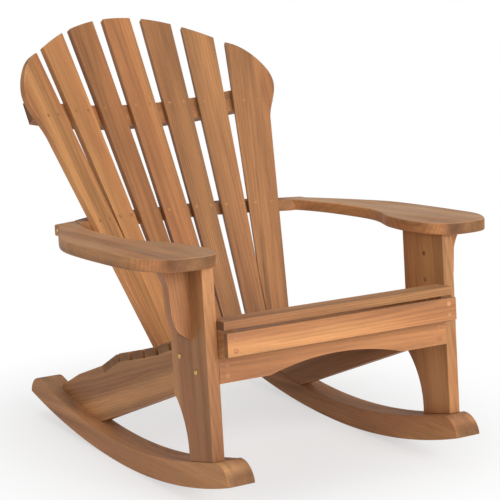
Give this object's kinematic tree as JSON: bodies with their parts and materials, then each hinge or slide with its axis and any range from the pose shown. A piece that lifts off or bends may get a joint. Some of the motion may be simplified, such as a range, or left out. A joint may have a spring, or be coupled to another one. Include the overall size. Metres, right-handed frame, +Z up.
{
  "type": "rocking adirondack chair",
  "caption": "Slatted wooden rocking chair with a fanned reclined back, wide flat arms, a dipped slat seat and curved rockers.",
  "frame": {"origin": "on the floor under the middle of the chair's overall box", "axes": "+Z up, -Y the way the chair faces, X across, symmetric about x = 0"},
  "size_m": [0.8624, 1.012, 0.8932],
  "materials": {
    "back_slat_1": "oiled",
    "back_slat_2": "oiled",
    "back_slat_3": "oiled",
    "back_slat_4": "oiled",
    "back_slat_5": "oiled",
    "back_slat_6": "oiled",
    "back_slat_7": "oiled",
    "brass": "satin",
    "front_apron": "oiled",
    "front_skirt": "oiled",
    "left_arm": "oiled",
    "left_arm_bracket": "oiled",
    "left_front_leg": "oiled",
    "left_rocker": "oiled",
    "left_side_rail": "oiled",
    "lower_back_rail": "oiled",
    "middle_back_rail": "oiled",
    "nosing_slat": "oiled",
    "right_arm": "oiled",
    "right_arm_bracket": "oiled",
    "right_front_leg": "oiled",
    "right_rocker": "oiled",
    "right_side_rail": "oiled",
    "seat_slat_2": "oiled",
    "seat_slat_3": "oiled",
    "seat_slat_4": "oiled",
    "seat_slat_5": "oiled",
    "seat_slat_6": "oiled",
    "seat_slat_7": "oiled",
    "seat_slat_8": "oiled",
    "teak_plug": "oiled",
    "upper_back_rail": "oiled"
  },
  "bodies": {
    "root": {"arm_end_screws": "brass", "arm_plugs": "teak_plug", "arm_screws": "brass", "back_slat_1": "back_slat_1", "back_slat_2": "back_slat_2", "back_slat_3": "back_slat_3", "back_slat_4": "back_slat_4", "back_slat_5": "back_slat_5", "back_slat_6": "back_slat_6", "back_slat_7": "back_slat_7", "bracket_plugs": "teak_plug", "bracket_screws": "brass", "front_apron": "front_apron", "front_board_plugs": "teak_plug", "front_board_screws": "brass", "front_skirt": "front_skirt", "left_arm": "left_arm", "left_arm_bracket": "left_arm_bracket", "left_front_leg": "left_front_leg", "left_rocker": "left_rocker", "left_side_rail": "left_side_rail", "leg_bolt_nuts": "brass", "leg_bolts": "brass", "lower_back_rail": "lower_back_rail", "lower_back_screws": "brass", "lower_rail_screws": "brass", "middle_back_rail": "middle_back_rail", "middle_back_screws": "brass", "nosing_slat": "nosing_slat", "right_arm": "right_arm", "right_arm_bracket": "right_arm_bracket", "right_front_leg": "right_front_leg", "right_rocker": "right_rocker", "right_side_rail": "right_side_rail", "rocker_screws": "brass", "seat_plugs": "teak_plug", "seat_screws": "brass", "seat_slat_2": "seat_slat_2", "seat_slat_3": "seat_slat_3", "seat_slat_4": "seat_slat_4", "seat_slat_5": "seat_slat_5", "seat_slat_6": "seat_slat_6", "seat_slat_7": "seat_slat_7", "seat_slat_8": "seat_slat_8", "upper_back_rail": "upper_back_rail", "upper_back_screws": "brass"}
  },
  "joints": []
}
